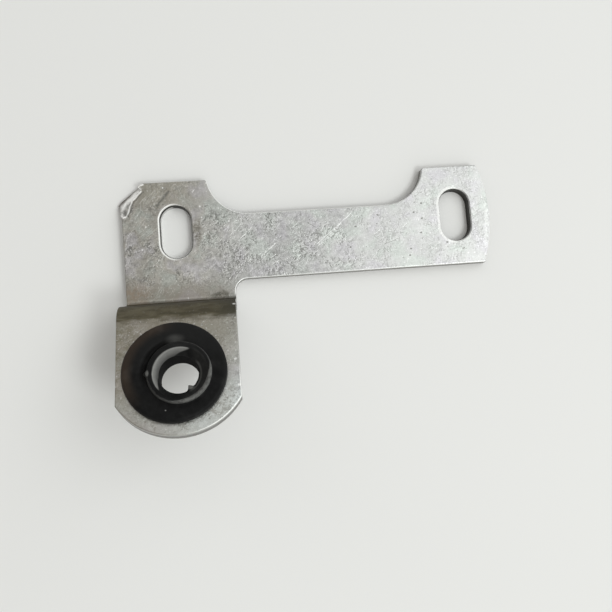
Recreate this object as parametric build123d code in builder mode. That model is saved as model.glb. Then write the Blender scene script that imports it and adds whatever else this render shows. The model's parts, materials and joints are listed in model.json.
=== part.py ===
"""Stamped steel bracket with a rubber bush in its raised tab.

The bracket is one sheet: a flat plate with two bolt slots, a steep fold, and a tilted tab with a round end.
The bush sits in the tab's hole and grips the sheet between its flange and its lower lip.
Millimetres, +Z up. The origin is midway between the bolt slots, on the plate's underside.
"""

import os
from math import atan, cos, degrees, radians, sin, sqrt, tan

from build123d import *

os.makedirs("parts", exist_ok=True)

# Sheet and its bends
sheet = 3.0
foot_bend_radius = 1.5
crest_bend_radius = 3.0
rolled_edge = 0.3

# Bolt slots, each across the plate's length, with the break-out of the punch on the upper side
slot_spacing = 80.0
slot_width = 8.5
slot_length = 14.8
breakout_width = 0.35
breakout_depth = 1.0

# Plate outline, measured from the slots' centres
plate_depth = 28.7
strap_depth = 18.4
left_margin = 14.65
right_margin = 10.35
end_radius = 38.8
notch_radius = 11.6
left_ear_reach = 9.4
right_ear_reach = 8.6
ear_corner_radius = 0.8
neck_corner_radius = 3.6

# Flat left by the parting tool at the right end's lower corner
parting_flat_reach = 7.9
parting_flat_height = 1.9

# Sheared corner at the upper left: its ragged outline from where the corner would be, across and down
corner_outline = (
    (6.45, 0),
    (5.6, -0.5),
    (4.7, -0.95),
    (0.05, -4.5),
    (-1.0, -5.7),
    (-0.5, -6.45),
    (-0.45, -7.5),
    (-0.25, -8.6),
    (0, -9.4),
)
corner_width = 6.45
corner_drop = 9.4

# Its facets: a point (across, down, below the upper face), where it faces, its slope, and where it starts and
# ends along its level line. Two are bright, and the torn edge below them has two dull ones.
corner_facets = (
    (1.58, 9.4, 0, 20.2, 21, 0, 10),
    (3.48, 4.64, 0, 44, 30, -6, 3.05),
    (4.6, 0.75, 2.0, 50.3, 47, -8, 0),
    (-1.0, 5.7, 2.0, 40.9, 47, -6, 6),
)

# Neck, fold and tab; the bush's place is that of the hole's centre in the tab's upper face
tab_width = 30.0
neck_length = 5.45
riser_angle = 84.0
tab_tilt = 20.0
bush_overhang = 19.3
bush_rise = 21.7
tab_end_margin = 15.2
tab_end_radius_gain = 2.75

# Rubber bush, across and along the tab from the centre of the tab's hole: its soft flange and core have both
# shifted, and the collar leans
bush_hole_radius = 9.0
groove_clearance = 0.0
flange_radius = 12.7
flange_thickness = 2.1
flange_edge_radius = 1.2
flange_shift = (-0.75, 0.3)
collar_root_radius = 7.85
collar_rim_radius = 7.6
collar_height = 1.9
collar_edge_radius = 0.35
collar_shift = (0.5, -0.6)
collar_rim_shift = (0.75, -0.9)
mouth_radius = 6.5
mouth_shift = (1.0, -1.35)
bore_radius = 4.75
bore_top = 1.4
bore_length = 5.6
bore_shift = (0.3, -0.7)
lower_lip_radius = 11.0
lower_lip_taper = 15.0
lower_lip_thickness = 3.0
lower_mouth_radius = 5.6
rim_nib_radius = 0.6
rim_nib_turn = 180.0

# Places worked out from the sizes
slot_left_x = -slot_spacing / 2
slot_right_x = slot_spacing / 2
plate_left = slot_left_x - left_margin
plate_right = slot_right_x + right_margin
plate_top = plate_depth / 2
plate_bottom = -plate_depth / 2
strap_top = plate_bottom + strap_depth
end_centre_x = plate_right - end_radius
notch_centre_y = strap_top + notch_radius
notch_run = sqrt(notch_radius**2 - (notch_centre_y - plate_top) ** 2)
notch_left_x = slot_left_x + left_ear_reach + notch_run
notch_right_x = slot_right_x - right_ear_reach - notch_run
parting_x = slot_right_x + parting_flat_reach
tab_x = plate_left + tab_width / 2
neck_right = plate_left + tab_width
foot_y = plate_bottom - neck_length
bush_y = foot_y - bush_overhang
fold_start = foot_y + foot_bend_radius * tan(radians(riser_angle / 2))
tab_end_radius = tab_width / 2 + tab_end_radius_gain
tab_end_centre_y = tab_end_radius - tab_end_margin
breakout_taper = degrees(atan(breakout_width / breakout_depth))

tab_plane = Plane(
    origin=(tab_x, bush_y, sheet + bush_rise),
    x_dir=(1, 0, 0),
    z_dir=(0, sin(radians(tab_tilt)), cos(radians(tab_tilt))),
)
tab_axis = Axis(tab_plane.origin, tab_plane.z_dir)


def crest_point():
    """Where the riser's upper face would meet the tab's, in the YZ plane."""
    tilt, steep = radians(tab_tilt), radians(riser_angle)
    tab_normal = Vector(sin(tilt), cos(tilt))
    foot = Vector(foot_y, sheet)
    to_tab = Vector(bush_y, sheet + bush_rise) - foot
    climb = to_tab.dot(tab_normal) / sin(steep - tilt)
    return foot + Vector(-cos(steep), sin(steep)) * climb


def tab_end_point():
    """The tab's far end on its upper face, in the YZ plane."""
    tilt = radians(tab_tilt)
    return Vector(bush_y, sheet + bush_rise) + Vector(-cos(tilt), sin(tilt)) * tab_end_margin


def corner_facet(across, down, sink, heading, slope):
    """A plane that slopes away from the plate's upper left corner. It passes the point that lies across and
    down from that corner and sink below the upper face. Seen from above, it faces heading degrees up from left."""
    facing = Vector(-cos(radians(heading)), sin(radians(heading)))
    return Plane(
        origin=(plate_left + across, plate_top - down, sheet - sink),
        x_dir=(facing.Y, -facing.X, 0),
        z_dir=(facing.X * sin(radians(slope)), facing.Y * sin(radians(slope)), cos(radians(slope))),
    )


def is_rolled(edge):
    """Whether an edge of the plate's upper face is neither the fold's start nor at the sheared corner."""
    middle = edge.center()
    at_corner = middle.X < plate_left + corner_width and middle.Y > plate_top - corner_drop
    return middle.Y > fold_start + rolled_edge / 100 and not at_corner


with BuildPart() as bracket:
    # Plate: round right end, long notch between the ears, and the neck that runs to the fold
    with BuildSketch() as outline:
        with Locations((end_centre_x, 0)):
            Circle(end_radius)
            Rectangle(2 * end_radius, plate_depth, mode=Mode.INTERSECT)
        with Locations(((plate_left + end_centre_x) / 2, 0)):
            Rectangle(end_centre_x - plate_left, plate_depth)
        with Locations((tab_x, (plate_bottom + fold_start) / 2)):
            Rectangle(tab_width, plate_bottom - fold_start)
        with Locations(((notch_left_x + notch_right_x) / 2, notch_centre_y)):
            SlotCenterToCenter(notch_right_x - notch_left_x, 2 * notch_radius, mode=Mode.SUBTRACT)
        with Locations((parting_x, plate_bottom)):
            Rectangle(right_margin, parting_flat_height, align=(Align.MIN, Align.MIN), mode=Mode.SUBTRACT)
            Rectangle(right_margin, parting_flat_height, align=(Align.MAX, Align.MIN))
        neck_corner = outline.vertices().sort_by_distance((neck_right, plate_bottom))[0]
        fillet(neck_corner, radius=neck_corner_radius)
        for ear_x in (slot_left_x + left_ear_reach, slot_right_x - right_ear_reach):
            fillet(outline.vertices().sort_by_distance((ear_x, plate_top))[0], radius=ear_corner_radius)
        with Locations((plate_left, plate_top)):
            Rectangle(corner_width, corner_drop, align=(Align.MIN, Align.MAX), mode=Mode.SUBTRACT)
            Polygon(*corner_outline, (corner_width, -corner_drop), align=None)
    extrude(amount=sheet)

    # Facets of the sheared corner
    for *place, start, end in corner_facets:
        with BuildSketch(corner_facet(*place)) as facet:
            with Locations((start, 0)):
                Rectangle(end - start, 3 * sheet, align=(Align.MIN, Align.CENTER))
        extrude(amount=sheet, mode=Mode.SUBTRACT)

    # Fold and tab: the sheet's section, as wide as the neck
    with BuildSketch(Plane.YZ.offset(plate_left)) as section:
        with BuildLine() as upper_face:
            FilletPolyline(
                (plate_bottom, sheet),
                (foot_y, sheet),
                crest_point(),
                tab_end_point(),
                radius=[foot_bend_radius, crest_bend_radius + sheet],
            )
            offset(amount=sheet, side=Side.LEFT)
        make_face()
    extrude(amount=tab_width)

    # Round end of the tab and the hole for the bush
    with BuildSketch(tab_plane) as tab_end:
        with Locations((0, tab_end_centre_y)):
            Rectangle(2 * tab_end_radius, 2 * tab_end_radius, align=(Align.CENTER, Align.MAX))
            Circle(tab_end_radius, mode=Mode.SUBTRACT)
    extrude(amount=sheet, both=True, mode=Mode.SUBTRACT)
    with BuildSketch(tab_plane) as bush_hole:
        Circle(bush_hole_radius)
    extrude(amount=-sheet, mode=Mode.SUBTRACT)

    # Bolt slots
    with BuildSketch() as bolt_slots:
        with Locations((slot_left_x, 0), (slot_right_x, 0)):
            SlotOverall(slot_length, slot_width, rotation=90)
    extrude(amount=sheet, mode=Mode.SUBTRACT)

    # Break-out at the slots' upper rims, left by the punch
    with BuildSketch(Plane.XY.offset(sheet)) as breakout:
        with Locations((slot_left_x, 0), (slot_right_x, 0)):
            SlotOverall(slot_length + 2 * breakout_width, slot_width + 2 * breakout_width, rotation=90)
    extrude(amount=-breakout_depth, taper=breakout_taper, mode=Mode.SUBTRACT)

    # Rolled upper edges, apart from the sheared corner; at the fold the roll runs on along the tab's sides
    plate_face = faces().filter_by(Plane.XY).sort_by(SortBy.AREA)[-2:].sort_by(Axis.Z)[-1]
    plate_rim = plate_face.edges().filter_by(is_rolled)
    tab_face = faces().filter_by(tab_plane).sort_by(tab_axis)[-1]
    tab_end_rim = tab_face.edges().filter_by(GeomType.CIRCLE).sort_by(SortBy.RADIUS)[-1]
    fillet(plate_rim + [tab_end_rim], radius=rolled_edge)

with BuildPart() as rubber_bush:
    # Lower lip, the groove that grips the sheet, and the flange over it
    with BuildSketch(tab_plane.offset(-sheet)) as lower_lip:
        Circle(lower_lip_radius)
    extrude(amount=-lower_lip_thickness, taper=lower_lip_taper)
    with BuildSketch(tab_plane) as groove:
        Circle(bush_hole_radius - groove_clearance)
    extrude(amount=-sheet)
    with BuildSketch(tab_plane) as flange:
        with Locations(flange_shift):
            Circle(flange_radius)
    extrude(amount=flange_thickness)
    fillet(faces().sort_by(tab_axis)[-1].edges(), radius=flange_edge_radius)

    # Raised collar, leaning a little, with a rounded rim and a moulding nib on it
    with BuildSketch(tab_plane.offset(flange_thickness)) as collar_root:
        with Locations(collar_shift):
            Circle(collar_root_radius)
    with BuildSketch(tab_plane.offset(flange_thickness + collar_height)) as collar_rim:
        with Locations(collar_rim_shift):
            Circle(collar_rim_radius)
    loft()
    fillet(faces().sort_by(tab_axis)[-1].edges(), radius=collar_edge_radius)
    with Locations(tab_plane.offset(flange_thickness + collar_height - rim_nib_radius)):
        with Locations(collar_rim_shift):
            with PolarLocations(collar_rim_radius - rim_nib_radius / 2, 1, start_angle=rim_nib_turn):
                Sphere(rim_nib_radius)

    # Funnel mouth, bore, and the wider mouth below
    with BuildSketch(tab_plane.offset(flange_thickness + collar_height)) as mouth:
        with Locations(mouth_shift):
            Circle(mouth_radius)
    with BuildSketch(tab_plane.offset(bore_top)) as bore_start:
        with Locations(bore_shift):
            Circle(bore_radius)
    loft(mode=Mode.SUBTRACT)
    with BuildSketch(tab_plane.offset(bore_top)) as bore:
        with Locations(bore_shift):
            Circle(bore_radius)
    extrude(amount=-bore_length, mode=Mode.SUBTRACT)
    with BuildSketch(tab_plane.offset(bore_top - bore_length)) as bore_end:
        with Locations(bore_shift):
            Circle(bore_radius)
    with BuildSketch(tab_plane.offset(-sheet - lower_lip_thickness)) as lower_mouth:
        with Locations(bore_shift):
            Circle(lower_mouth_radius)
    loft(mode=Mode.SUBTRACT)

bracket.part.label = "bracket"
export_step(bracket.part, "parts/bracket.step")
rubber_bush.part.label = "rubber_bush"
export_step(rubber_bush.part, "parts/rubber_bush.step")
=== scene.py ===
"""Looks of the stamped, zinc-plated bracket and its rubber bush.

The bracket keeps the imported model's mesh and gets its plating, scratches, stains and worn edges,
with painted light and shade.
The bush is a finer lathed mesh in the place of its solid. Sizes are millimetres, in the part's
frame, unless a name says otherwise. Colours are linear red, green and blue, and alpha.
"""

import json
from math import cos, exp, radians, sin

import bmesh
import bpy
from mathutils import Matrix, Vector


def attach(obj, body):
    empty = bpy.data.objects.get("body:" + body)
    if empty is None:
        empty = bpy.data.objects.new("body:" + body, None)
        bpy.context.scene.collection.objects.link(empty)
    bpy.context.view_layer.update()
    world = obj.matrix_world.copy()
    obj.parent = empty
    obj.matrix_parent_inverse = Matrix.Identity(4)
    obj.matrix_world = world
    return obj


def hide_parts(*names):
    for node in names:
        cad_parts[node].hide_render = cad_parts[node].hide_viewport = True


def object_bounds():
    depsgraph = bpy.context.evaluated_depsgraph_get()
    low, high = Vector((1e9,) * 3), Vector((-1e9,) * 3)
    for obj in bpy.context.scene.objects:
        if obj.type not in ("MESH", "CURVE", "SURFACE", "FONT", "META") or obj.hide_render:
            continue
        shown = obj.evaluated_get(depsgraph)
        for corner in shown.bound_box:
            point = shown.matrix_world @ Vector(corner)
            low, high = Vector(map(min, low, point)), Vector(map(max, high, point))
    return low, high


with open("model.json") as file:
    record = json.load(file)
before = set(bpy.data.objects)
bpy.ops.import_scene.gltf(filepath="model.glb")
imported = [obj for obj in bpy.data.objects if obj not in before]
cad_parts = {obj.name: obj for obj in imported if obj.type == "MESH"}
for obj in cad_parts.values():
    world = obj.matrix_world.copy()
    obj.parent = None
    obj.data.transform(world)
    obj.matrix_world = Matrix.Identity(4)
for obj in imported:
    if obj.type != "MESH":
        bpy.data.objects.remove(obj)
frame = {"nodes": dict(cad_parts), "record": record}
cad_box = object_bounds()

MM = 0.001

# Places on the part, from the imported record
mounts = {mount["name"]: mount for mount in frame["record"]["mounts"]}
bore_centre = Vector(mounts["bush_bore"]["pos_m"]) / MM
tab_normal = Vector(mounts["bush_bore"]["axis"])
tab_across = Vector((1, 0, 0))
tab_along = tab_normal.cross(tab_across)
slot_left_x = mounts["left_slot"]["pos_m"][0] / MM
slot_right_x = mounts["right_slot"]["pos_m"][0] / MM

# The bore's middle, from the centre of the tab's hole: across and along the tab, and above its
# upper face
bore_shift = Vector((0.3, -0.7))
bore_middle_height = -1.4
tab_origin = (
    bore_centre
    - tab_across * bore_shift.x
    - tab_along * bore_shift.y
    - tab_normal * bore_middle_height
)

# Sheet and plate sizes that the finishes follow
sheet = 3.0
slot_width = 8.5
slot_length = 14.8
foot_y = -19.8
riser_lean = radians(6)

# Zones of the finishes: the sheared corner's lower right end, the half size of the field that
# holds both slots, and the softness of their edges
corner_right = -47.95
corner_low = 4.35
slots_half_x = 45.0
slots_half_y = 7.9
zone_edge = 0.2

# Slopes of the surface, as the upright share of its normal: where a zone starts and is full
level = (0.7, 0.95)
nearly_level = (0.8, 0.95)
rolled_over = (0.97, 0.85)
short_of_wall = (0.2, 0.5)
wall = (0.25, 0.1)
not_underneath = (-0.5, -0.2)
facet_slope = (0.78, 0.82)


class Nodes:
    """A node tree, with short calls for the nodes in use."""

    def __init__(self, tree):
        self.tree = tree

    def node(self, kind, inputs=(), **settings):
        made = self.tree.nodes.new(kind)
        for name, value in settings.items():
            setattr(made, name, value)
        for socket, value in dict(inputs).items():
            self.feed(made.inputs[socket], value)
        return made

    def feed(self, socket, value):
        """Links a socket to another node's output, or sets its value."""
        if isinstance(value, bpy.types.NodeSocket):
            self.tree.links.new(value, socket)
        else:
            socket.default_value = value

    def math(self, operation, *values, clamp=False):
        inputs = enumerate(values)
        return self.node("ShaderNodeMath", inputs, operation=operation, use_clamp=clamp).outputs[0]

    def vector(self, operation, *values, result="Vector"):
        made = self.node("ShaderNodeVectorMath", enumerate(values), operation=operation)
        return made.outputs[result]

    def scaled(self, value, factor):
        inputs = {0: value, "Scale": factor}
        return self.node("ShaderNodeVectorMath", inputs, operation="SCALE").outputs["Vector"]

    def dot(self, first, second):
        return self.vector("DOT_PRODUCT", first, second, result="Value")

    def length(self, value):
        return self.vector("LENGTH", value, result="Value")

    def parts(self, value):
        return self.node("ShaderNodeSeparateXYZ", {0: value}).outputs[:]

    def joined(self, *parts):
        return self.node("ShaderNodeCombineXYZ", enumerate(parts)).outputs[0]

    def band(self, value, low, high):
        """0 at low and 1 at high, smooth between."""
        sockets = {"Value": value, "From Min": low, "From Max": high}
        made = self.node("ShaderNodeMapRange", sockets, interpolation_type="SMOOTHSTEP")
        return made.outputs["Result"]

    def span(self, value, low, high):
        """A value from 0 to 1 spread from low to high."""
        sockets = {"Value": value, "To Min": low, "To Max": high}
        return self.node("ShaderNodeMapRange", sockets).outputs["Result"]

    def chain(self, operation, value, *others):
        """The value after the same operation with each of the others in turn."""
        for other in others:
            value = self.math(operation, value, other)
        return value

    def every(self, *masks):
        """Where all the masks are. A plain number among them is a share of the rest."""
        return self.chain("MULTIPLY", *masks)

    def any(self, *masks):
        """Where at least one of the masks is."""
        return self.chain("MAXIMUM", *masks)

    def outside(self, mask):
        """Where the mask isn't."""
        return self.math("SUBTRACT", 1.0, mask)

    def total(self, *values):
        return self.chain("ADD", *values)

    def mix(self, share, first, second):
        """The first colour where share is 0, and the second where it is 1."""
        inputs = {0: share, 6: first, 7: second}
        return self.node("ShaderNodeMix", inputs, data_type="RGBA").outputs[2]

    def coats(self, colour, *rows):
        """The colour under coats of paint: each row is a mask, its share and its paint."""
        for mask, share, paint in rows:
            colour = self.mix(self.every(mask, share), colour, paint)
        return colour


class Shader(Nodes):
    """A material's nodes.

    Its place is in millimetres, in the part's frame or, where an origin is given, in the tab's
    frame from there.
    """

    def __init__(self, name, origin=None):
        self.material = bpy.data.materials.new(name)
        self.material.use_nodes = True
        super().__init__(self.material.node_tree)
        self.surface = self.tree.nodes["Principled BSDF"]
        self.place = self.scaled(self.node("ShaderNodeTexCoord").outputs["Object"], 1 / MM)
        self.normal = self.node("ShaderNodeNewGeometry").outputs["Normal"]
        if origin:
            self.place = self.in_tab_frame(self.place)

    def in_tab_frame(self, place):
        """The place across, along and above the tab's upper face, from the centre of its hole."""
        away = self.vector("SUBTRACT", place, tab_origin)
        return self.joined(*(self.dot(away, axis) for axis in (tab_across, tab_along, tab_normal)))

    def dress(self, values):
        """Feeds the surface's sockets, by name."""
        for name, value in values.items():
            self.feed(self.surface.inputs[name], value)

    def shifted(self, *shift):
        return self.vector("ADD", self.place, shift)

    def flattened(self, place):
        """The place as seen from above."""
        return self.vector("MULTIPLY", place, (1, 1, 0))

    def noise(self, size, detail=2.0, roughness=0.5, place=None):
        """Noise about 0.5, with forms about size across."""
        place = place or self.place
        sockets = {"Vector": place, "Scale": 1 / size, "Detail": detail, "Roughness": roughness}
        return self.node("ShaderNodeTexNoise", sockets).outputs["Fac"]

    def stretched(self, turn, along, across, shift=0.0):
        """The place turned about Z, in units of along and across.

        A noise of size 1 there is drawn out.
        """
        sockets = {"Vector": self.place, "Angle": radians(turn)}
        turned = self.node("ShaderNodeVectorRotate", sockets, rotation_type="Z_AXIS")
        scaled = self.vector("DIVIDE", turned.outputs["Vector"], (along, across, along))
        return self.vector("ADD", scaled, (shift, shift, shift))

    def middle_line(self, field, width):
        """A line where a noise passes its middle level."""
        from_middle = self.math("ABSOLUTE", self.math("SUBTRACT", field, 0.5))
        return self.band(from_middle, width, 0)

    def hairlines(self, turn, along, across, width, shift):
        """Fine broken lines, turned so many degrees from the plate's length."""
        field = self.noise(1, detail=1, place=self.stretched(-turn, along, across, shift))
        gap_place = self.stretched(-turn, along * 0.6, across * 5, -shift)
        unbroken = self.band(self.noise(1, detail=1, place=gap_place), 0.5, 0.62)
        return self.every(self.middle_line(field, width), unbroken)

    def level_lines(self, size, width, shift, lean=(0, 0)):
        """Short curved lines, broken off at random. Lean moves them in mm."""
        leaned = self.shifted(*lean, 0)
        field = self.noise(size, place=self.vector("ADD", leaned, (shift, 0, shift)))
        gap_place = self.vector("ADD", leaned, (0, -shift, shift))
        unbroken = self.band(self.noise(size, detail=1, place=gap_place), 0.5, 0.58)
        return self.every(self.middle_line(field, width), unbroken)

    def around(self, centre, turn):
        """The distance from a centre, and how far the place lies toward turn degrees.

        Both are seen from above, and the second is 1 there and -1 opposite.
        """
        away = self.flattened(self.vector("SUBTRACT", self.place, (*centre, 0)))
        reach = self.length(away)
        ahead = self.dot(away, (cos(radians(turn)), sin(radians(turn)), 0))
        return reach, self.math("DIVIDE", ahead, reach)

    def slot_lip(self, centre_x, reach):
        """The rolled edge of a slot's left side, as far as reach mm from the opening."""
        x, y = self.parts(self.place)[:2]
        aside = self.math("SUBTRACT", x, centre_x)
        half_straight = (slot_length - slot_width) / 2
        beyond = self.math("SUBTRACT", self.math("ABSOLUTE", y), half_straight)
        from_middle = self.joined(aside, self.math("MAXIMUM", beyond, 0))
        distance = self.math("SUBTRACT", self.length(from_middle), slot_width / 2)
        return self.every(self.band(distance, reach, reach * 0.6), self.band(aside, 1.0, -1.5))

    def strokes(self, marks, place):
        """Scratches, seen from above. Each has its start, its end and its width."""
        made = []
        for start, end, width in marks:
            start = Vector((*start, 0))
            run = Vector((*end, 0)) - start
            away = self.vector("SUBTRACT", place, start)
            share = self.dot(away, run / run.length_squared)
            share = self.math("MULTIPLY", share, 1.0, clamp=True)
            aside = self.vector("SUBTRACT", away, self.scaled(run, share))
            made.append(self.band(self.length(aside), width / 2, 0))
        return made

    def spot(self, centre, reach, soft, place):
        """A round or oval spot, seen from above: 1 inside, and fading over its outer soft share."""
        away = self.vector("SUBTRACT", place, (*centre, 0))
        away = self.vector("DIVIDE", away, (*reach, 1))
        return self.band(self.length(away), 1, 1 - soft)

    def specks(self, centres, reach, soft, place):
        return [self.spot(centre, reach, soft, place) for centre in centres]

    def bump(self, height, depth):
        """Bumps of the surface: height from 0 to 1 is depth mm."""
        sockets = {"Height": height, "Distance": depth * MM, "Strength": 1.0}
        return self.node("ShaderNodeBump", sockets).outputs["Normal"]


# Colours of the bracket: its plating, what lies on it, painted light and shade, and bare steel
plating = {
    "warm": (0.425, 0.41, 0.375, 1),
    "cool": (0.515, 0.518, 0.512, 1),
    "violet": (0.515, 0.50, 0.53, 1),
    "green": (0.485, 0.52, 0.49, 1),
    # Painted shade for the tab's upper part, toward the fold
    "dull": (0.275, 0.26, 0.215, 1),
    "tan": (0.36, 0.332, 0.28, 1),
    # Painted light for the tab's lower end
    "lit": (0.80, 0.86, 0.865, 1),
    "etched": (0.15, 0.15, 0.14, 1),
    # Painted highlight beside the etched lines
    "etched_highlight": (0.88, 0.89, 0.87, 1),
    # Painted shade with a warm brown tint, toward the fold
    "foot_shade_and_tint": (0.29, 0.245, 0.185, 1),
    "brown": (0.36, 0.27, 0.20, 1),
    "soot": (0.13, 0.125, 0.10, 1),
    "grime": (0.20, 0.18, 0.125, 1),
    "handled": (0.27, 0.25, 0.215, 1),
    "chatter": (0.15, 0.14, 0.12, 1),
    # Painted shade on the fold, and darkest on the riser
    "fold_shade_dark": (0.085, 0.074, 0.046, 1),
    "fold_shade_light": (0.165, 0.147, 0.098, 1),
    "fold_shade_right": (0.07, 0.065, 0.044, 1),
    "riser_shade_dark": (0.058, 0.048, 0.028, 1),
    "dent": (0.22, 0.225, 0.20, 1),
    "dark_mark": (0.17, 0.17, 0.155, 1),
    "bright_mark": (0.93, 0.93, 0.92, 1),
    "glint": (0.9, 0.9, 0.9, 1),
}
steel = {
    "burnished": (0.44, 0.44, 0.425, 1),
    "wall_dark": (0.20, 0.195, 0.185, 1),
    "wall_light": (0.36, 0.355, 0.34, 1),
    # Painted shade in the slots' walls
    "slot_wall": (0.03, 0.028, 0.025, 1),
    # Painted highlights on the slots' edges, the rims and the right end
    "slot_edge": (0.80, 0.80, 0.78, 1),
    "slot_rim": (0.97, 0.97, 0.95, 1),
    "rim": (0.82, 0.82, 0.81, 1),
    "lit_rim": (0.95, 0.95, 0.94, 1),
    "end_rim": (0.95, 0.96, 0.94, 1),
    "end_band": (0.86, 0.88, 0.86, 1),
    "grey_facet_dark": (0.24, 0.235, 0.225, 1),
    "grey_facet_light": (0.50, 0.49, 0.47, 1),
    "bright_facet_dark": (0.50, 0.49, 0.48, 1),
    "bright_facet_light": (0.97, 0.96, 0.94, 1),
    "tear_dark": (0.12, 0.108, 0.098, 1),
    "tear_light": (0.30, 0.275, 0.255, 1),
    "shade": (0.12, 0.115, 0.105, 1),
    "frost": (0.88, 0.87, 0.85, 1),
    "burr": (0.99, 0.985, 0.97, 1),
}

# Painted highlight, a bright band inside the plate's right end: start, end and width of each stroke
right_end_band = (((49.3, 2.5), (49.0, -3.5), 2.0), ((49.0, -3.5), (48.3, -9.5), 2.0))

# Marks on the plate's upper face: scratches with start, end and width, specks with the reach and
# softness of each, and a dimple
bright_scratches = (
    ((-0.7, -6.0), (9.6, 2.1), 0.26),
    ((-0.4, -6.5), (6.8, -0.4), 0.2),
    ((-16.9, -8.6), (-12.4, -4.9), 0.24),
    ((-23.4, -4.2), (-18.7, 0.1), 0.22),
    ((24.5, -2.7), (25.7, -1.6), 0.34),
    ((15.9, -4.3), (17.7, -3.1), 0.26),
    ((-34.8, 11.0), (-34.1, 11.7), 0.42),
)
dark_scratches = (
    ((-25.2, -5.3), (-21.7, -2.8), 0.3),
    ((-13.7, 1.7), (-13.2, 0.7), 0.34),
    ((-11.3, -7.8), (-8.7, -6.9), 0.26),
    ((-8.7, -6.9), (-4.5, -6.1), 0.26),
    ((-4.5, -6.1), (-0.8, -6.3), 0.22),
    ((-3.3, 0.4), (-0.7, -1.3), 0.24),
    ((18.5, -7.2), (22.8, -5.8), 0.3),
    ((-41.4, 11.5), (-44.8, 7.7), 1.3),
)
bright_specks = (
    (-42.9, 12.7), (-48.1, 1.9), (-32.6, 3.7), (-25.1, 2.1), (-49.5, -4.5), (-32.9, 6.8),
    (-13.1, 0.4),
)
dark_specks = (
    (17.2, 1.3), (10.5, -1.6), (8.6, -7.5), (26.0, -9.1), (25.6, -11.0), (30.3, 4.0),
    (30.1, -0.5), (29.4, -4.7), (36.9, -7.9), (41.5, -9.9), (27.8, 1.4),
)
bright_speck = ((0.32, 0.32), 0.6)
dark_speck = ((0.46, 0.34), 0.6)
dimple = ((-31.5, -2.0), (0.9, 1.15), 0.6)

# Nicks on the tab's right edge, across and along the tab from the centre of its hole
tab_nicks = ((14.5, 17.8), (14.0, 2.6), (14.6, -4.1))
nick = ((0.55, 0.4), 0.6)

# Stains, handling marks and the tab's lower end with painted light: centre, reach and softness
brown_stain = ((-53.2, -17.4), (8.5, 5.2), 0.9)
soot_stain = ((-28.6, -18.4), (4.6, 1.7), 0.8)
handled_patch = ((slot_left_x + 6.0, 0.2), (2.0, 6.4), 0.7)
chatter_marks = ((slot_left_x + 6.0, 0.1), (1.2, 4.4), 0.5)
lit_tab_end = ((-29, -51), (22, 15), 1.0)

# Random lines: curved etching (size, width and shift), and hairlines (turn in degrees, length,
# spacing, width and shift). A line's width is in the noise's own units
etching = ((1.5, 0.075, 5.3), (1.05, 0.075, 17.9), (2.2, 0.06, 29.3))
# Offset in mm of the painted highlight beside each etched line
etched_highlight_lean = (0.28, -0.26)
hairline_sets = (
    (48, 9, 1.3, 0.013, 3.1),
    (40, 6, 1.0, 0.011, 11.7),
    (66, 7, 1.6, 0.010, 23.9),
    (-38, 6, 2.2, 0.010, 37.3),
)

# Sheared corner: burrs round its two facets, frosted patches outside them, and shaded edges
# toward the plate, each a stroke with start, end and width
corner_burrs = (
    ((-49.0, 12.0), (-51.2, 9.75), 0.95),
    ((-51.5, 9.45), (-53.25, 5.15), 0.75),
    ((-53.25, 5.15), (-54.1, 4.8), 0.8),
    ((-54.2, 8.1), (-54.1, 8.2), 2.5),
    ((-54.15, 8.1), (-52.75, 9.5), 1.8),
    ((-52.75, 9.5), (-51.4, 10.7), 2.0),
    ((-51.4, 10.7), (-49.5, 12.6), 2.3),
    ((-49.85, 13.1), (-49.2, 13.6), 0.8),
    ((-49.2, 13.6), (-48.2, 14.0), 0.8),
)
corner_frost = (
    ((-54.6, 5.4), (-54.35, 7.9), 1.7),
    ((-54.3, 7.9), (-50.0, 12.2), 2.4),
)
corner_shade = (
    ((-48.6, 11.7), (-50.8, 9.35), 0.8),
    ((-51.1, 9.1), (-52.8, 5.0), 0.7),
    ((-49.3, 13.0), (-49.1, 12.9), 0.8),
)


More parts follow.
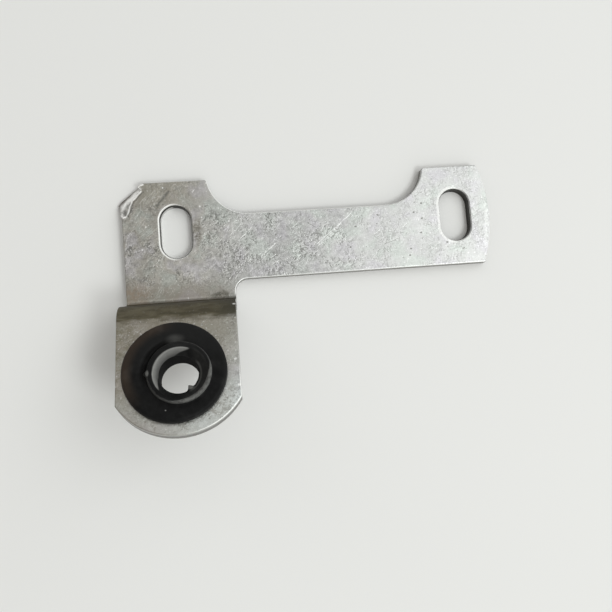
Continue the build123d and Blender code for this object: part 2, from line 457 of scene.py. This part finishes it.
def zinc_steel():
    """Satin zinc plating on sheet steel, with sheared edges, worn rims with painted highlights,
    scratches, stains and painted shade.
    """
    s = Shader("zinc_steel")
    x, y, z = s.parts(s.place)
    normal_x, normal_y, normal_z = s.parts(s.normal)
    upright = s.dot(s.normal, tab_normal)
    on_tab_axes = s.in_tab_frame(s.place)
    height_on_tab = s.parts(on_tab_axes)[2]

    # Where things are: the plate's upper face and the tab
    on_plate = s.band(y, foot_y - zone_edge, foot_y + zone_edge)
    clear_of_fold = s.band(y, foot_y + 1, foot_y + 2)
    on_tab = s.band(y, foot_y - 4.5, foot_y - 6.5)
    facing_up = s.band(normal_z, *not_underneath)
    top_of_plate = s.every(on_plate, s.band(normal_z, *level))
    upper_faces = s.any(top_of_plate, s.every(on_tab, s.band(upright, *nearly_level)))

    # The sheared corner and the sheared walls
    corner = s.every(
        s.band(x, corner_right + zone_edge, corner_right - zone_edge),
        s.band(y, corner_low - zone_edge, corner_low + zone_edge),
    )
    short_of_tear = s.band(normal_z, *facet_slope)
    steep_facet = s.every(corner, s.band(normal_z, 0.92, 0.88), short_of_tear)
    facets = s.every(corner, s.band(normal_z, 0.99, 0.96), short_of_tear)
    torn = s.every(corner, s.band(normal_z, 0.78, 0.74), s.band(normal_z, -0.5, -0.3))
    sheared = s.any(
        s.every(clear_of_fold, s.band(s.math("ABSOLUTE", normal_z), *wall)),
        s.every(on_tab, s.band(s.math("ABSOLUTE", upright), *wall)),
        s.every(
            s.band(y, foot_y + 2, foot_y + 1), s.band(s.math("ABSOLUTE", normal_x), 0.7, 0.9)
        ),
    )

    # The slots, and the rims that the punch rolled over
    in_slots = s.every(
        s.band(y, -slots_half_y, -slots_half_y + zone_edge),
        s.band(y, slots_half_y, slots_half_y - zone_edge),
        s.band(x, slots_half_x, slots_half_x - zone_edge),
        s.band(x, -slots_half_x, -slots_half_x + zone_edge),
    )
    past_face = s.band(normal_z, *rolled_over)
    away_from_left = s.band(normal_x, -0.55, -0.15)
    slot_sides = s.every(in_slots, past_face, facing_up)
    # Painted highlights go on the slots' rims that don't face left, and on lips beside their left
    # sides
    slot_rim = s.every(slot_sides, away_from_left, s.band(z, sheet - 0.42, sheet - 0.22))
    left_lip = s.slot_lip(slot_left_x, 0.8)
    right_lip = s.slot_lip(slot_right_x, 1.3)
    lip = s.every(s.any(left_lip, s.every(right_lip, 0.55)), top_of_plate)
    slot_rim_highlights = s.any(slot_rim, lip)
    plate_rim = s.every(
        clear_of_fold, past_face, s.band(normal_z, *short_of_wall), s.outside(corner)
    )
    outer_rim = s.every(plate_rim, away_from_left, s.outside(in_slots))
    tab_rim = s.every(on_tab, s.band(upright, *rolled_over), s.band(upright, *short_of_wall))

    # Plating: broad clouds, a mottle of crystals and fine grain, quieter on the plate's right
    # half, along its upper edge and toward the fold
    clouds = s.noise(9, detail=3)
    tints = s.noise(6, place=s.shifted(90, 20, 0))
    mottle = s.noise(1.3)
    grain = s.noise(0.4, detail=1)
    quiet = s.any(
        s.every(s.band(x, 2, 14), 0.5),
        s.every(s.band(y, 6.5, 9.5), 0.5),
        s.every(s.band(y, foot_y + 6.5, foot_y + 3.5), s.span(on_tab, 0.6, 0.2)),
    )
    busy = s.outside(quiet)
    tone = s.total(
        s.span(clouds, -0.24, 0.24),
        s.every(s.span(mottle, -0.3, 0.3), busy),
        s.every(s.span(grain, -0.3, 0.3), busy),
        1.0,
    )
    cool_tab = s.every(on_tab, s.any(s.band(y, -40, -47), s.band(x, -36, -28)))
    cool = s.any(s.band(x, -44, -16), cool_tab)
    # Painted shade: the tab's upper part, toward the fold, is darker
    dull_top = s.every(on_tab, s.band(y, -42, -27))
    warm_ear = s.every(s.band(y, 4, 12), s.band(x, -28, -44))
    # Painted light: the tab's lower end is lighter and cooler
    lit_end = s.every(on_tab, s.spot(*lit_tab_end, s.flattened(s.place)))
    plain = s.coats(
        s.mix(cool, plating["warm"], plating["cool"]),
        (s.band(tints, 0.5, 0.66), 0.6, plating["violet"]),
        (s.band(tints, 0.5, 0.34), 0.6, plating["green"]),
        (dull_top, 0.6, plating["dull"]),
        (warm_ear, 0.75, plating["tan"]),
        (lit_end, 0.95, plating["lit"]),
    )
    colour = s.scaled(plain, tone)

    # Etching: short curved lines in patches, each dark, with a painted highlight beside it where
    # its wall would face the key lamp
    patchy = s.band(s.noise(6.5, place=s.shifted(15, 0, 60)), 0.38, 0.58)
    etched = s.any(*(s.level_lines(*lines) for lines in etching))
    etched = s.every(etched, patchy, upper_faces, busy)
    etched_highlight = s.any(*(s.level_lines(*lines, etched_highlight_lean) for lines in etching[:2]))
    etched_highlight = s.every(etched_highlight, patchy, upper_faces, busy)
    colour = s.coats(
        colour,
        (etched_highlight, 0.3, plating["etched_highlight"]),
        (etched, 0.68, plating["etched"]),
    )

    # Marks: place on the face with a small wander, so that no scratch is ruled straight
    sockets = {"Vector": s.place, "Scale": 0.7, "Detail": 1}
    wander = s.node("ShaderNodeTexNoise", sockets).outputs["Color"]
    wander = s.scaled(s.vector("SUBTRACT", wander, (0.5, 0.5, 0.5)), 0.35)
    flat = s.flattened(s.vector("ADD", s.joined(x, y), wander))
    on_tab_face = s.flattened(on_tab_axes)
    bright = s.any(*s.strokes(bright_scratches, flat))
    bright = s.every(bright, s.span(s.band(mottle, 0.35, 0.6), 0.6, 1.0))
    bright = s.any(bright, *s.specks(bright_specks, *bright_speck, flat))
    bright = s.every(bright, top_of_plate)
    bright = s.any(bright, *s.specks(tab_nicks, *nick, on_tab_face))
    dark = s.any(*s.strokes(dark_scratches, flat))
    dark = s.any(dark, *s.specks(dark_specks, *dark_speck, flat))
    pits = s.band(s.noise(0.75, detail=1, roughness=0.4), 0.31, 0.24)
    dark = s.every(s.any(dark, s.every(pits, 0.7)), s.any(top_of_plate, on_tab))
    fine = s.any(*(s.hairlines(*lines) for lines in hairline_sets))
    glints = s.noise(0.62, detail=1, roughness=0.4, place=s.shifted(40, 70, 0))
    glints = s.band(glints, 0.67, 0.74)

    # Stains and shade: painted shade with a warm brown tint toward the fold, brown at its left end,
    # soot at its right end, grime at the tab's left, and a handled patch beside the left slot with
    # a tool's chatter marks in it
    ragged = s.noise(1.4, detail=3)
    ragged_flat = s.vector("ADD", flat, s.scaled(wander, 3.5))
    foot_shade_and_tint = s.every(
        s.band(y, foot_y + 8, foot_y + 1), s.band(x, -22, -30), s.span(clouds, 0.7, 1.3), facing_up
    )
    brown = s.every(s.spot(*brown_stain, ragged_flat), s.band(ragged, 0.2, 0.6), facing_up)
    soot = s.every(s.spot(*soot_stain, ragged_flat), s.band(ragged, 0.25, 0.55), facing_up)
    grime = s.every(
        on_tab,
        s.band(x, -46, -54),
        s.band(s.noise(1.9, detail=3, roughness=0.6), 0.42, 0.66),
        s.span(s.band(y, -38, -47), 1.0, 0.3),
    )
    handled = s.every(s.spot(*handled_patch, ragged_flat), s.band(ragged, 0.2, 0.55), facing_up)
    chatter = s.noise(1, detail=1, place=s.stretched(0, 1.8, 0.34, 2.7))
    chatter = s.every(s.spot(*chatter_marks, flat), s.band(chatter, 0.44, 0.56), facing_up)
    colour = s.coats(
        colour,
        (foot_shade_and_tint, 0.42, plating["foot_shade_and_tint"]),
        (brown, 0.6, plating["brown"]),
        (soot, 0.85, plating["soot"]),
        (grime, 0.7, plating["grime"]),
        (handled, 0.6, plating["handled"]),
        (chatter, 0.6, plating["chatter"]),
    )

    # Painted shade on the fold: over the riser and the crest, with a ragged lower edge on the tab.
    # It is darkest on the riser, and darker at the right
    drawn_out = s.noise(1, detail=3, place=s.stretched(0, 4.5, 1.1, 8.3))
    fold_shade_end = s.span(drawn_out, -27.2, -24.0)
    overlay = s.every(
        s.band(s.math("SUBTRACT", y, fold_shade_end), -1.1, 1.0),
        s.band(y, foot_y + 1.2, foot_y + 0.2),
        s.band(upright, 0.1, 0.3),
        s.any(s.band(y, foot_y - 0.2, foot_y - 0.6), s.band(upright, 0.9, 0.8)),
    )
    riser_shade = s.every(overlay, s.band(upright, 0.85, 0.55))
    fold_shade_colour = s.mix(s.band(drawn_out, 0.3, 0.7), plating["fold_shade_dark"], plating["fold_shade_light"])
    fold_shade_colour = s.mix(s.band(x, -32, -25), fold_shade_colour, plating["fold_shade_right"])
    lit = s.span(overlay, 1.0, 0.15)
    dent = s.every(s.spot(*dimple, flat), top_of_plate)
    bright = s.any(bright, s.every(fine, lit, 0.32))
    colour = s.coats(
        colour,
        (overlay, 0.94, fold_shade_colour),
        (riser_shade, 0.85, plating["riser_shade_dark"]),
        (dent, 0.55, plating["dent"]),
        (dark, 0.8, plating["dark_mark"]),
        (bright, 0.68, plating["bright_mark"]),
        (s.every(glints, lit), 0.35, plating["glint"]),
    )

    # Sheared walls: burnished at the top, dull and torn below, with the punch's upright streaks
    streak_place = s.vector("DIVIDE", s.place, (0.22, 0.22, 5))
    streaks = s.noise(1, detail=3, roughness=0.65, place=streak_place)
    from_foot = s.vector("SUBTRACT", s.place, (0, foot_y, sheet))
    riser_depth = s.dot(from_foot, (0, -cos(riser_lean), -sin(riser_lean)))
    over_underside = s.math("MINIMUM", z, s.math("SUBTRACT", sheet, riser_depth))
    past_foot = s.band(y, foot_y + 0.4, foot_y)
    over_underside = s.any(over_underside, s.every(past_foot, s.total(height_on_tab, sheet)))
    burnish_start = s.total(s.span(s.noise(1.1), -0.35, 0.35), 2.0)
    burnished = s.band(s.math("SUBTRACT", over_underside, burnish_start), -0.12, 0.12)
    wall_colour = s.mix(streaks, steel["wall_dark"], steel["wall_light"])
    wall_colour = s.mix(burnished, wall_colour, steel["burnished"])

    # Slots and rims: painted shade darkens the slots' walls, and the left slot's wall has a painted
    # highlight at its lower edge. Rims get painted highlights, most where they face the key lamp. A
    # painted highlight lies as a bright band inside the right end
    slot_wall = s.every(slot_sides, s.band(z, sheet - 0.25, sheet - 0.4))
    lower_edge = s.every(
        slot_wall,
        s.band(z, 1.9, 1.5),
        s.band(x, slot_left_x + 1, slot_left_x - 1),
        s.band(normal_x, 0, 0.3),
    )
    lit_rim = s.every(outer_rim, s.any(s.band(normal_y, -0.05, -0.3), s.band(normal_x, 0.05, 0.3)))
    end_rim = s.every(
        tab_rim, s.band(x, -40, -26), s.band(y, -36, -42), s.band(normal_x, -0.1, 0.2)
    )
    end_band = s.every(s.any(*s.strokes(right_end_band, flat)), s.band(normal_z, *nearly_level))
    colour = s.coats(
        s.mix(sheared, colour, wall_colour),
        (slot_wall, 0.93, steel["slot_wall"]),
        (lower_edge, 0.8, steel["slot_edge"]),
        (slot_rim_highlights, 0.9, steel["slot_rim"]),
        (outer_rim, 0.5, steel["rim"]),
        (lit_rim, 0.6, steel["lit_rim"]),
        (end_rim, 0.8, steel["end_rim"]),
        (s.every(end_band, clouds), 0.34, steel["end_band"]),
    )

    # Sheared corner: a bright facet, a grey one, bright burrs round both and a dull brown tear
    # outside them
    at_corner = s.every(corner, s.band(normal_z, 0.3, 0.6))
    burrs = s.every(s.any(*s.strokes(corner_burrs, flat)), at_corner)
    burrs = s.every(burrs, s.span(s.band(mottle, 0.32, 0.5), 0.7, 1.0))
    frost = s.every(s.any(*s.strokes(corner_frost, flat)), at_corner)
    frost = s.every(frost, s.span(s.band(mottle, 0.35, 0.55), 0.35, 0.9))
    shade = s.every(s.any(*s.strokes(corner_shade, flat)), corner, s.band(normal_z, *level))
    grey_facet = s.mix(
        s.band(mottle, 0.35, 0.65), steel["grey_facet_dark"], steel["grey_facet_light"]
    )
    bright_facet = s.mix(
        s.band(mottle, 0.30, 0.6), steel["bright_facet_dark"], steel["bright_facet_light"]
    )
    colour = s.mix(facets, colour, s.mix(steep_facet, grey_facet, bright_facet))
    colour = s.mix(torn, colour, s.mix(streaks, steel["tear_dark"], steel["tear_light"]))
    colour = s.coats(colour, (shade, 0.6, steel["shade"]))
    colour = s.mix(frost, colour, steel["frost"])
    colour = s.coats(colour, (burrs, 0.95, steel["burr"]))

    # Raw, broken metal scatters the light, so burrs, scratches and the rims' painted highlights are
    # pale from every side
    pale = s.any(
        burrs,
        frost,
        s.every(steep_facet, 0.7),
        s.every(facets, 0.4),
        s.every(slot_rim_highlights, 0.8),
        s.every(lower_edge, 0.8),
        s.every(outer_rim, 0.6),
        s.every(end_rim, 0.7),
        s.every(bright, 0.5),
    )

    # Gloss
    rough = s.total(
        s.span(mottle, 0.26, 0.44),
        s.span(clouds, -0.05, 0.05),
        s.every(pale, 0.2),
        s.every(sheared, s.span(burnished, 0.2, 0.0)),
        s.every(s.any(brown, soot, handled, overlay, torn, tab_rim), 0.16),
    )

    # Relief
    relief = s.every(s.total(mottle, s.every(grain, 0.6)), 0.25)
    for mark, depth in ((s.any(bright, dark, etched), 0.5), (fine, 0.12), (dent, 1.5)):
        relief = s.math("SUBTRACT", relief, s.every(mark, depth))
    relief = s.total(
        relief, s.every(s.any(facets, torn), mottle), s.every(sheared, streaks, 1.6)
    )
    s.dress({
        "Base Color": colour,
        "Metallic": s.span(pale, 0.9, 0.1),
        "Roughness": rough,
        "Normal": s.bump(relief, 0.05),
    })
    return s.material


# Rubber bush, in the tab's own frame from the centre of its hole. Each corner of its profile has
# a radius, a height, a shift across and along the tab, and a softness
flange_shift = (-0.75, 0.3)
collar_shift = (0.5, -0.6)
collar_rim_shift = (0.75, -0.9)
mouth_shift = (1.0, -1.35)
funnel_middle = (0.65, -1.0)
bush_profile = (
    (4.75, -4.2, *bore_shift, 0.3),
    (5.6, -6.0, *bore_shift, 0.25),
    (10.2, -6.0, 0, 0, 0.5),
    (11.0, -3.0, 0, 0, 0.12),
    (9.0, -3.0, 0, 0, 0.1),
    (9.0, 0.0, 0, 0, 0.1),
    (12.7, 0.0, *flange_shift, 0.15),
    (12.7, 2.1, *flange_shift, 1.2),
    (7.85, 2.1, *collar_shift, 0.3),
    (7.6, 4.0, *collar_rim_shift, 0.38),
    (6.5, 4.0, *mouth_shift, 0.3),
    (4.75, 1.4, *bore_shift, 0.35),
)
bush_segments = 224
ring_gap = 0.35
softening_steps = 6

# Waves of the flange: the height above which they lie, the radius where they start, the run to
# their full size, and that size
wave_floor = 0.4
wave_start = 9.5
wave_run = 3
wave_size = 0.05

# Small forms of the moulding: turn and spread in degrees, the height or radius of the middle, how
# far the form stands out, and its half width. The mouth's nib has a low shoulder beside it
upper_left = 143.0
rim_nib = (180.0, 4.6, 3.4, 0.8, 0.55)
mouth_nib = (-54.0, 9.0, 1.9, 1.35, 0.6)
mouth_shoulder = (-30.0, 9.0, 1.9, 0.22, 0.5)
foot_gap = (upper_left, 42.0, 8.45, 1.2, 0.5)

# Where they are: the flange's upper face round the collar, and outside and inside the collar
flange_top = (1.9, 2.3)
collar_foot = (7.85, 10.5)
collar_split = 6.4
mouth_heights = (1.3, 3.6)


def soft_profile(corners):
    """The closed profile with each corner rounded, and its long runs divided into short ones."""
    corners = [(Vector(corner[:4]), corner[4]) for corner in corners]
    rings = []
    for i, (corner, softness) in enumerate(corners):
        before, after = corners[i - 1][0], corners[(i + 1) % len(corners)][0]
        leave = corner + (before - corner) * softness / (before - corner).xy.length
        reach = corner + (after - corner) * softness / (after - corner).xy.length
        if rings:
            run = leave - rings[-1]
            cuts = int(run.xy.length / ring_gap)
            rings += [rings[-1] + run * (k + 1) / (cuts + 1) for k in range(cuts)]
        for k in range(softening_steps + 1):
            t = k / softening_steps
            rings.append(leave * (1 - t) ** 2 + corner * 2 * t * (1 - t) + reach * t**2)
    return rings


def swelling(turn, place, centre, spread, middle, reach, half_width):
    """How far a small form stands out at an angle and at a height or radius."""
    away = (turn - centre + 180) % 360 - 180
    return reach * exp(-((away / spread) ** 2)) * exp(-(((place - middle) / half_width) ** 2))


def bush_point(ring, turn):
    """One point of the bush, in metres: the ring at that angle, with the waves and small forms."""
    radius, height, across, along = ring
    angle = radians(turn)
    if height > wave_floor:
        outward = max(0, min(1, (radius - wave_start) / wave_run))
        height += outward * wave_size * (sin(2 * angle + 0.6) + 0.6 * sin(5 * angle))
    if flange_top[0] < height < flange_top[1] and collar_foot[0] < radius < collar_foot[1]:
        height -= swelling(turn, radius, *foot_gap)
    if height > flange_top[1] and radius > collar_split:
        radius += swelling(turn, height, *rim_nib)
    if mouth_heights[0] < height < mouth_heights[1] and radius < collar_split:
        radius -= swelling(turn, height, *mouth_nib)
        radius -= swelling(turn, height, *mouth_shoulder)
    local = Vector((radius * cos(angle) + across, radius * sin(angle) + along, height))
    return (tab_origin + tab_across * local.x + tab_along * local.y + tab_normal * local.z) * MM


def make_mesh_object(name, mesh_name, shape):
    """An object in the scene with the shape as its mesh."""
    mesh = bpy.data.meshes.new(mesh_name)
    shape.to_mesh(mesh)
    shape.free()
    made = bpy.data.objects.new(name, mesh)
    bpy.context.scene.collection.objects.link(made)
    return made


def make_bush():
    """The bush as one closed lathed mesh, in the tab's hole."""
    shape = bmesh.new()
    turns = [360 * k / bush_segments for k in range(bush_segments)]
    loops = [
        [shape.verts.new(bush_point(ring, turn)) for turn in turns]
        for ring in soft_profile(bush_profile)
    ]
    for i, loop in enumerate(loops):
        following = loops[(i + 1) % len(loops)]
        for k in range(bush_segments):
            n = (k + 1) % bush_segments
            shape.faces.new((loop[k], loop[n], following[n], following[k]))
    bmesh.ops.recalc_face_normals(shape, faces=shape.faces)
    made = make_mesh_object("moulded_bush", "bush", shape)
    made.data.shade_smooth()
    return made


# Colours of the bush
rubber = {
    "dark": (0.0030, 0.0030, 0.0031, 1),
    "light": (0.0066, 0.0066, 0.0068, 1),
    "toward_fold": (0.016, 0.016, 0.0158, 1),
    "aged": (0.042, 0.029, 0.021, 1),
    "shadow": (0.0008, 0.0008, 0.0008, 1),
    "dust_and_highlights": (0.26, 0.26, 0.25, 1),
    "speck": (0.2, 0.2, 0.19, 1),
}

# Dusty spots on it, in the tab's frame: centre, reach and softness
inner_nib_dust = ((3.1, -4.3), (1.05, 0.95), 0.5)
outer_nib_dust = ((-6.8, -0.8), (0.5, 1.0), 0.5)
dusty_patch = ((-0.3, 8.1), (3.0, 1.8), 1.0)
pale_speck = ((-2.85, -9.6), (0.22, 0.2), 0.5)


def black_rubber():
    """Matt moulded rubber, dusty in places, with painted highlights in its mouth and on its
    collar's edge, and brown where its edge has aged.
    """
    s = Shader("black_rubber", tab_origin)
    y, z = s.parts(s.place)[1:]
    flat = s.flattened(s.place)
    mottle = s.noise(1.3, detail=4, roughness=0.6)
    grain = s.noise(0.16)
    patches = s.noise(4.5)

    # Plain rubber, a little lighter toward the fold and brown at the flange's upper left edge
    plain = s.mix(s.band(mottle, 0.3, 0.7), rubber["dark"], rubber["light"])
    reach, toward = s.around(flange_shift, 155)
    left_edge = s.every(
        s.band(toward, 0.25, 0.85), s.band(reach, 9.3, 12.0), s.span(patches, 0.6, 1.4)
    )

    # Shadow under the collar's upper left and in the bore
    reach, toward = s.around(collar_shift, upper_left)
    under_collar = s.every(
        s.band(reach, 9.1, 8.6),
        s.band(toward, 0.5, 0.85),
        s.band(z, 3.2, 2.8),
        s.band(reach, 7.6, 7.8),
    )
    bore_wall = s.every(s.band(z, 1.45, 1.2), s.band(reach, 7.0, 6.5))
    colour = s.coats(
        plain,
        (s.band(y, -2, 11), 0.5, rubber["toward_fold"]),
        (left_edge, 0.75, rubber["aged"]),
        (s.any(under_collar, bore_wall), 0.85, rubber["shadow"]),
    )

    # Painted highlight on the funnel's wall: a crescent that tapers at both ends, lightest at its
    # outer edge
    reach, toward = s.around(funnel_middle, upper_left)
    starts = s.span(s.band(reach, 4.5, 6.3), 0.92, 0.18)
    over_bore = s.band(z, 1.25, 1.5)
    crescent = s.every(
        s.band(s.math("SUBTRACT", toward, starts), 0, 0.14),
        s.band(reach, 6.45, 6.2),
        over_bore,
        s.span(s.band(reach, 4.7, 6.4), 0.12, 1.0),
        s.band(z, 4.1, 3.9),
    )

    # Painted highlight: a thin line on the collar's edge, from the top round the right to the lower
    # left, and widest below
    reach, toward = s.around(collar_rim_shift, -45)
    breakup = s.noise(0.9, detail=3, place=s.shifted(30, 0, 0))
    line_start = s.total(s.span(s.band(toward, 0.4, 1.0), 7.3, 6.4), s.span(breakup, -0.3, 0.3))
    line_floor = s.span(s.band(reach, 7.2, 6.9), 2.5, 1.9)
    line = s.every(
        s.band(s.math("SUBTRACT", reach, line_start), 0, 0.3),
        s.band(reach, 8.2, 7.8),
        s.band(s.math("SUBTRACT", z, line_floor), 0, 0.6),
        s.band(toward, -0.75, -0.5),
        s.span(s.band(toward, -0.2, 1.0), 0.17, 0.42),
        s.span(s.band(breakup, 0.35, 0.6), 0.7, 1.2),
    )

    # Dust: the torn lip of the funnel's right side with a thin film outside it, the two nibs, a
    # soft patch above the collar and a speck below it
    reach, toward = s.around(funnel_middle, -12)
    lip = s.every(
        s.band(reach, 4.7, 4.95), s.band(reach, 5.5, 5.15), s.band(toward, 0.5, 0.8), over_bore
    )
    overlay = s.every(
        s.band(reach, 4.7, 5.1),
        s.band(reach, 7.0, 6.6),
        s.band(toward, 0.1, 0.7),
        s.band(z, 1.3, 1.6),
    )
    above_tab = s.band(z, 1.2, 1.6)
    inner_nib = s.every(s.spot(*inner_nib_dust, flat), s.band(z, 1.2, 1.5))
    outer_nib = s.every(s.spot(*outer_nib_dust, flat), s.band(z, 2.4, 2.8))
    patch = s.every(s.spot(*dusty_patch, flat), above_tab)
    speck = s.every(s.spot(*pale_speck, flat), above_tab)
    dust_and_highlights = s.any(
        crescent,
        line,
        s.every(lip, 0.25),
        s.every(overlay, s.span(breakup, 0.3, 1.6), 0.055),
        s.every(inner_nib, 0.58),
        s.every(outer_nib, 0.4),
        s.every(patch, 0.22),
        s.every(s.band(patches, 0.55, 0.8), 0.037),
    )
    # The dust and the painted highlights share one pale colour
    colour = s.coats(colour, (dust_and_highlights, s.span(mottle, 0.7, 1.3), rubber["dust_and_highlights"]))
    colour = s.mix(speck, colour, rubber["speck"])
    s.dress({
        "Base Color": colour,
        "Roughness": s.any(s.span(mottle, 0.5, 0.68), bore_wall),
        "Specular IOR Level": 0.12,
        "Sheen Weight": 0.02,
        "Sheen Roughness": 0.5,
        "Normal": s.bump(s.total(s.every(mottle, 0.6), s.every(grain, 0.4)), 0.06),
    })
    return s.material


# Floor and lamps. A lamp has a name, a place and a size in metres, and its power in watts
floor_colour = (0.80, 0.80, 0.79, 1)
floor_half_width_m = 3.0
lamp_colour = (0.97, 1, 0.99)
lamps = (
    ("key", (0.42, -0.42, 0.88), 0.3, 2.8),
    ("right_softbox", (0.55, 0.12, 0.75), 0.6, 1.7),
)

# The room round the object, by the direction that the light comes from
room = {
    "ceiling_left": (0.35, 0.338, 0.31, 1),
    "ceiling_right": (0.90, 0.90, 0.88, 1),
    "far_right": (0.72, 0.72, 0.71, 1),
    "window_left": (0.70, 0.71, 0.70, 1),
    "window_right": (1.0, 1.02, 1.01, 1),
    "back": (0.28, 0.27, 0.25, 1),
}

# Camera, as fitted to the photograph: lens and sensor in mm, place in metres, turn in radians
camera_lens = 38.95
camera_sensor = 36
camera_near_m = 0.01
camera_place_m = (-0.02211, -0.03791, 0.18770)
camera_turn = (0.0852, -0.0837, -0.0809)


def pale_floor():
    """Plain pale paint."""
    s = Shader("pale_floor")
    s.dress({"Base Color": floor_colour, "Roughness": 0.75, "Specular IOR Level": 0.2})
    return s.material


def make_floor(height):
    """A flat floor under the part."""
    shape = bmesh.new()
    bmesh.ops.create_grid(shape, x_segments=4, y_segments=4, size=floor_half_width_m)
    floor = make_mesh_object("floor", "floor", shape)
    floor.location.z = height
    floor.data.materials.append(pale_floor())


def make_lamp(name, place, size, power):
    """A square soft lamp that faces the part."""
    data = bpy.data.lights.new(name, "AREA")
    data.size = size
    data.energy = power
    data.color = lamp_colour
    lamp = bpy.data.objects.new(name, data)
    lamp.location = place
    lamp.rotation_euler = (-Vector(place)).to_track_quat("-Z", "Y").to_euler()
    bpy.context.scene.collection.objects.link(lamp)


def make_world():
    """A soft room: a ceiling that is brighter at the right, a window past it and a dim back."""
    world = bpy.data.worlds.new("studio")
    world.use_nodes = True
    sky = Nodes(world.node_tree)
    right, back = sky.parts(sky.node("ShaderNodeTexCoord").outputs["Generated"])[:2]
    rightward = sky.band(right, -0.36, 0.15)
    ceiling = sky.mix(rightward, room["ceiling_left"], room["ceiling_right"])
    ceiling = sky.mix(sky.band(right, 0.26, 0.52), ceiling, room["far_right"])
    window = sky.mix(rightward, room["window_left"], room["window_right"])
    colour = sky.mix(sky.band(back, 0.32, 0.48), ceiling, window)
    colour = sky.mix(sky.band(back, 0.70, 0.86), colour, room["back"])
    sky.feed(sky.tree.nodes["Background"].inputs["Color"], colour)
    bpy.context.scene.world = world


def make_camera():
    """The photograph's view: nearly straight down, with the fitted place, tilt and lens."""
    data = bpy.data.cameras.new("camera")
    data.sensor_width = camera_sensor
    data.lens = camera_lens
    data.clip_start = camera_near_m
    camera = bpy.data.objects.new("camera", data)
    camera.location = camera_place_m
    camera.rotation_euler = camera_turn
    bpy.context.scene.collection.objects.link(camera)
    bpy.context.scene.camera = camera


# Stage
make_camera()
make_floor(cad_box[0].z)
for lamp in lamps:
    make_lamp(*lamp)
make_world()
bpy.context.scene.view_settings.view_transform = "Standard"

# Finishes
bracket = frame["nodes"]["bracket"]
bracket.data.materials.clear()
bracket.data.materials.append(zinc_steel())
bush = make_bush()
bush.data.materials.append(black_rubber())
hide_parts("rubber_bush")
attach(bush, "root")
